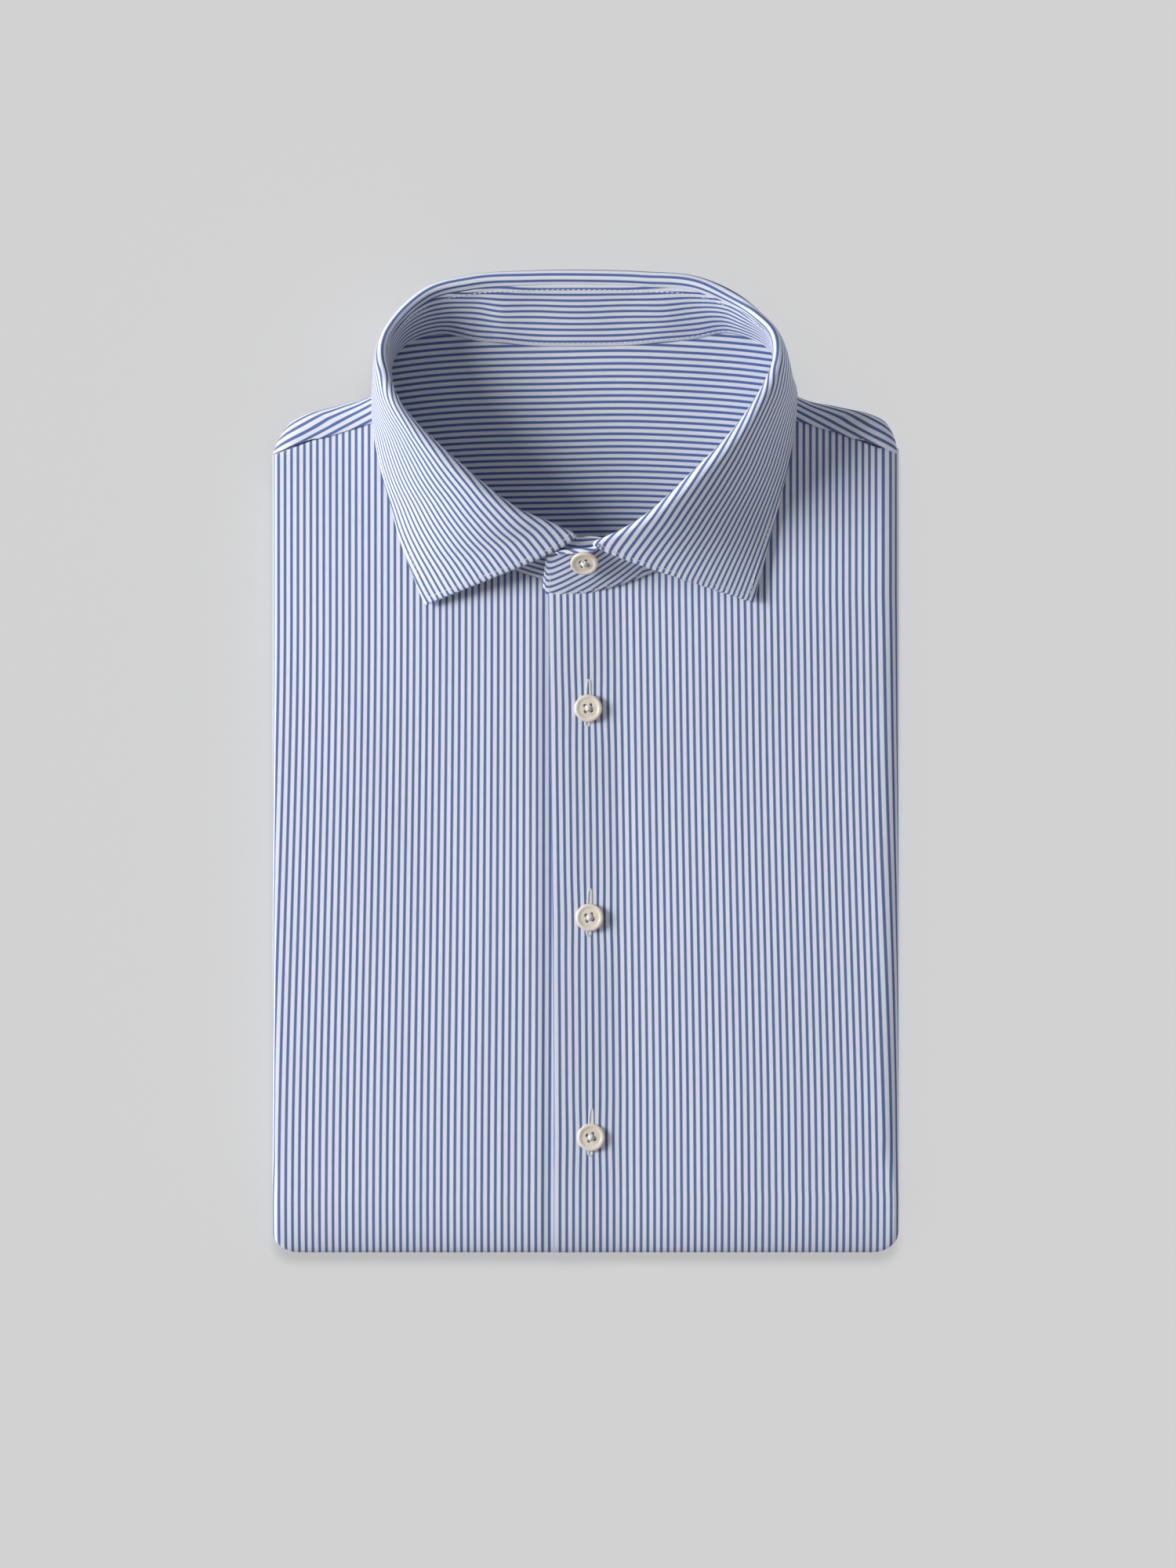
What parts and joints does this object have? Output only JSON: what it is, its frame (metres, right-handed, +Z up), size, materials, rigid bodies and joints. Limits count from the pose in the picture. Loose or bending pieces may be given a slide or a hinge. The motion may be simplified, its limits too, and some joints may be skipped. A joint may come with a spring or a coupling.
{
  "type": "folded dress shirt",
  "caption": "Long-sleeved striped dress shirt, buttoned, pressed and folded flat, with a spread collar standing round an open neck.",
  "frame": {"origin": "on the surface it rests on, below the middle of its outline", "axes": "+Z up from the surface, +Y toward the collar, +X toward the wearer's left side"},
  "size_m": [0.254, 0.3982, 0.0521],
  "materials": {
    "striped_cotton": "white cotton twill with fine blue stripes, matt",
    "collar_cotton": "the same striped twill, fused and stitched, crisper",
    "button_resin": "cream four-hole shirt button, soft shine"
  },
  "bodies": {
    "root": {"folded_layers": "striped_cotton", "front_left": "striped_cotton", "front_right": "striped_cotton", "yoke_left": "striped_cotton", "yoke_right": "striped_cotton", "yoke_lining": "striped_cotton", "collar_stand": "collar_cotton", "collar_leaf": "collar_cotton", "button_collar": "button_resin", "button_1": "button_resin", "button_2": "button_resin", "button_3": "button_resin"}
  },
  "joints": []
}
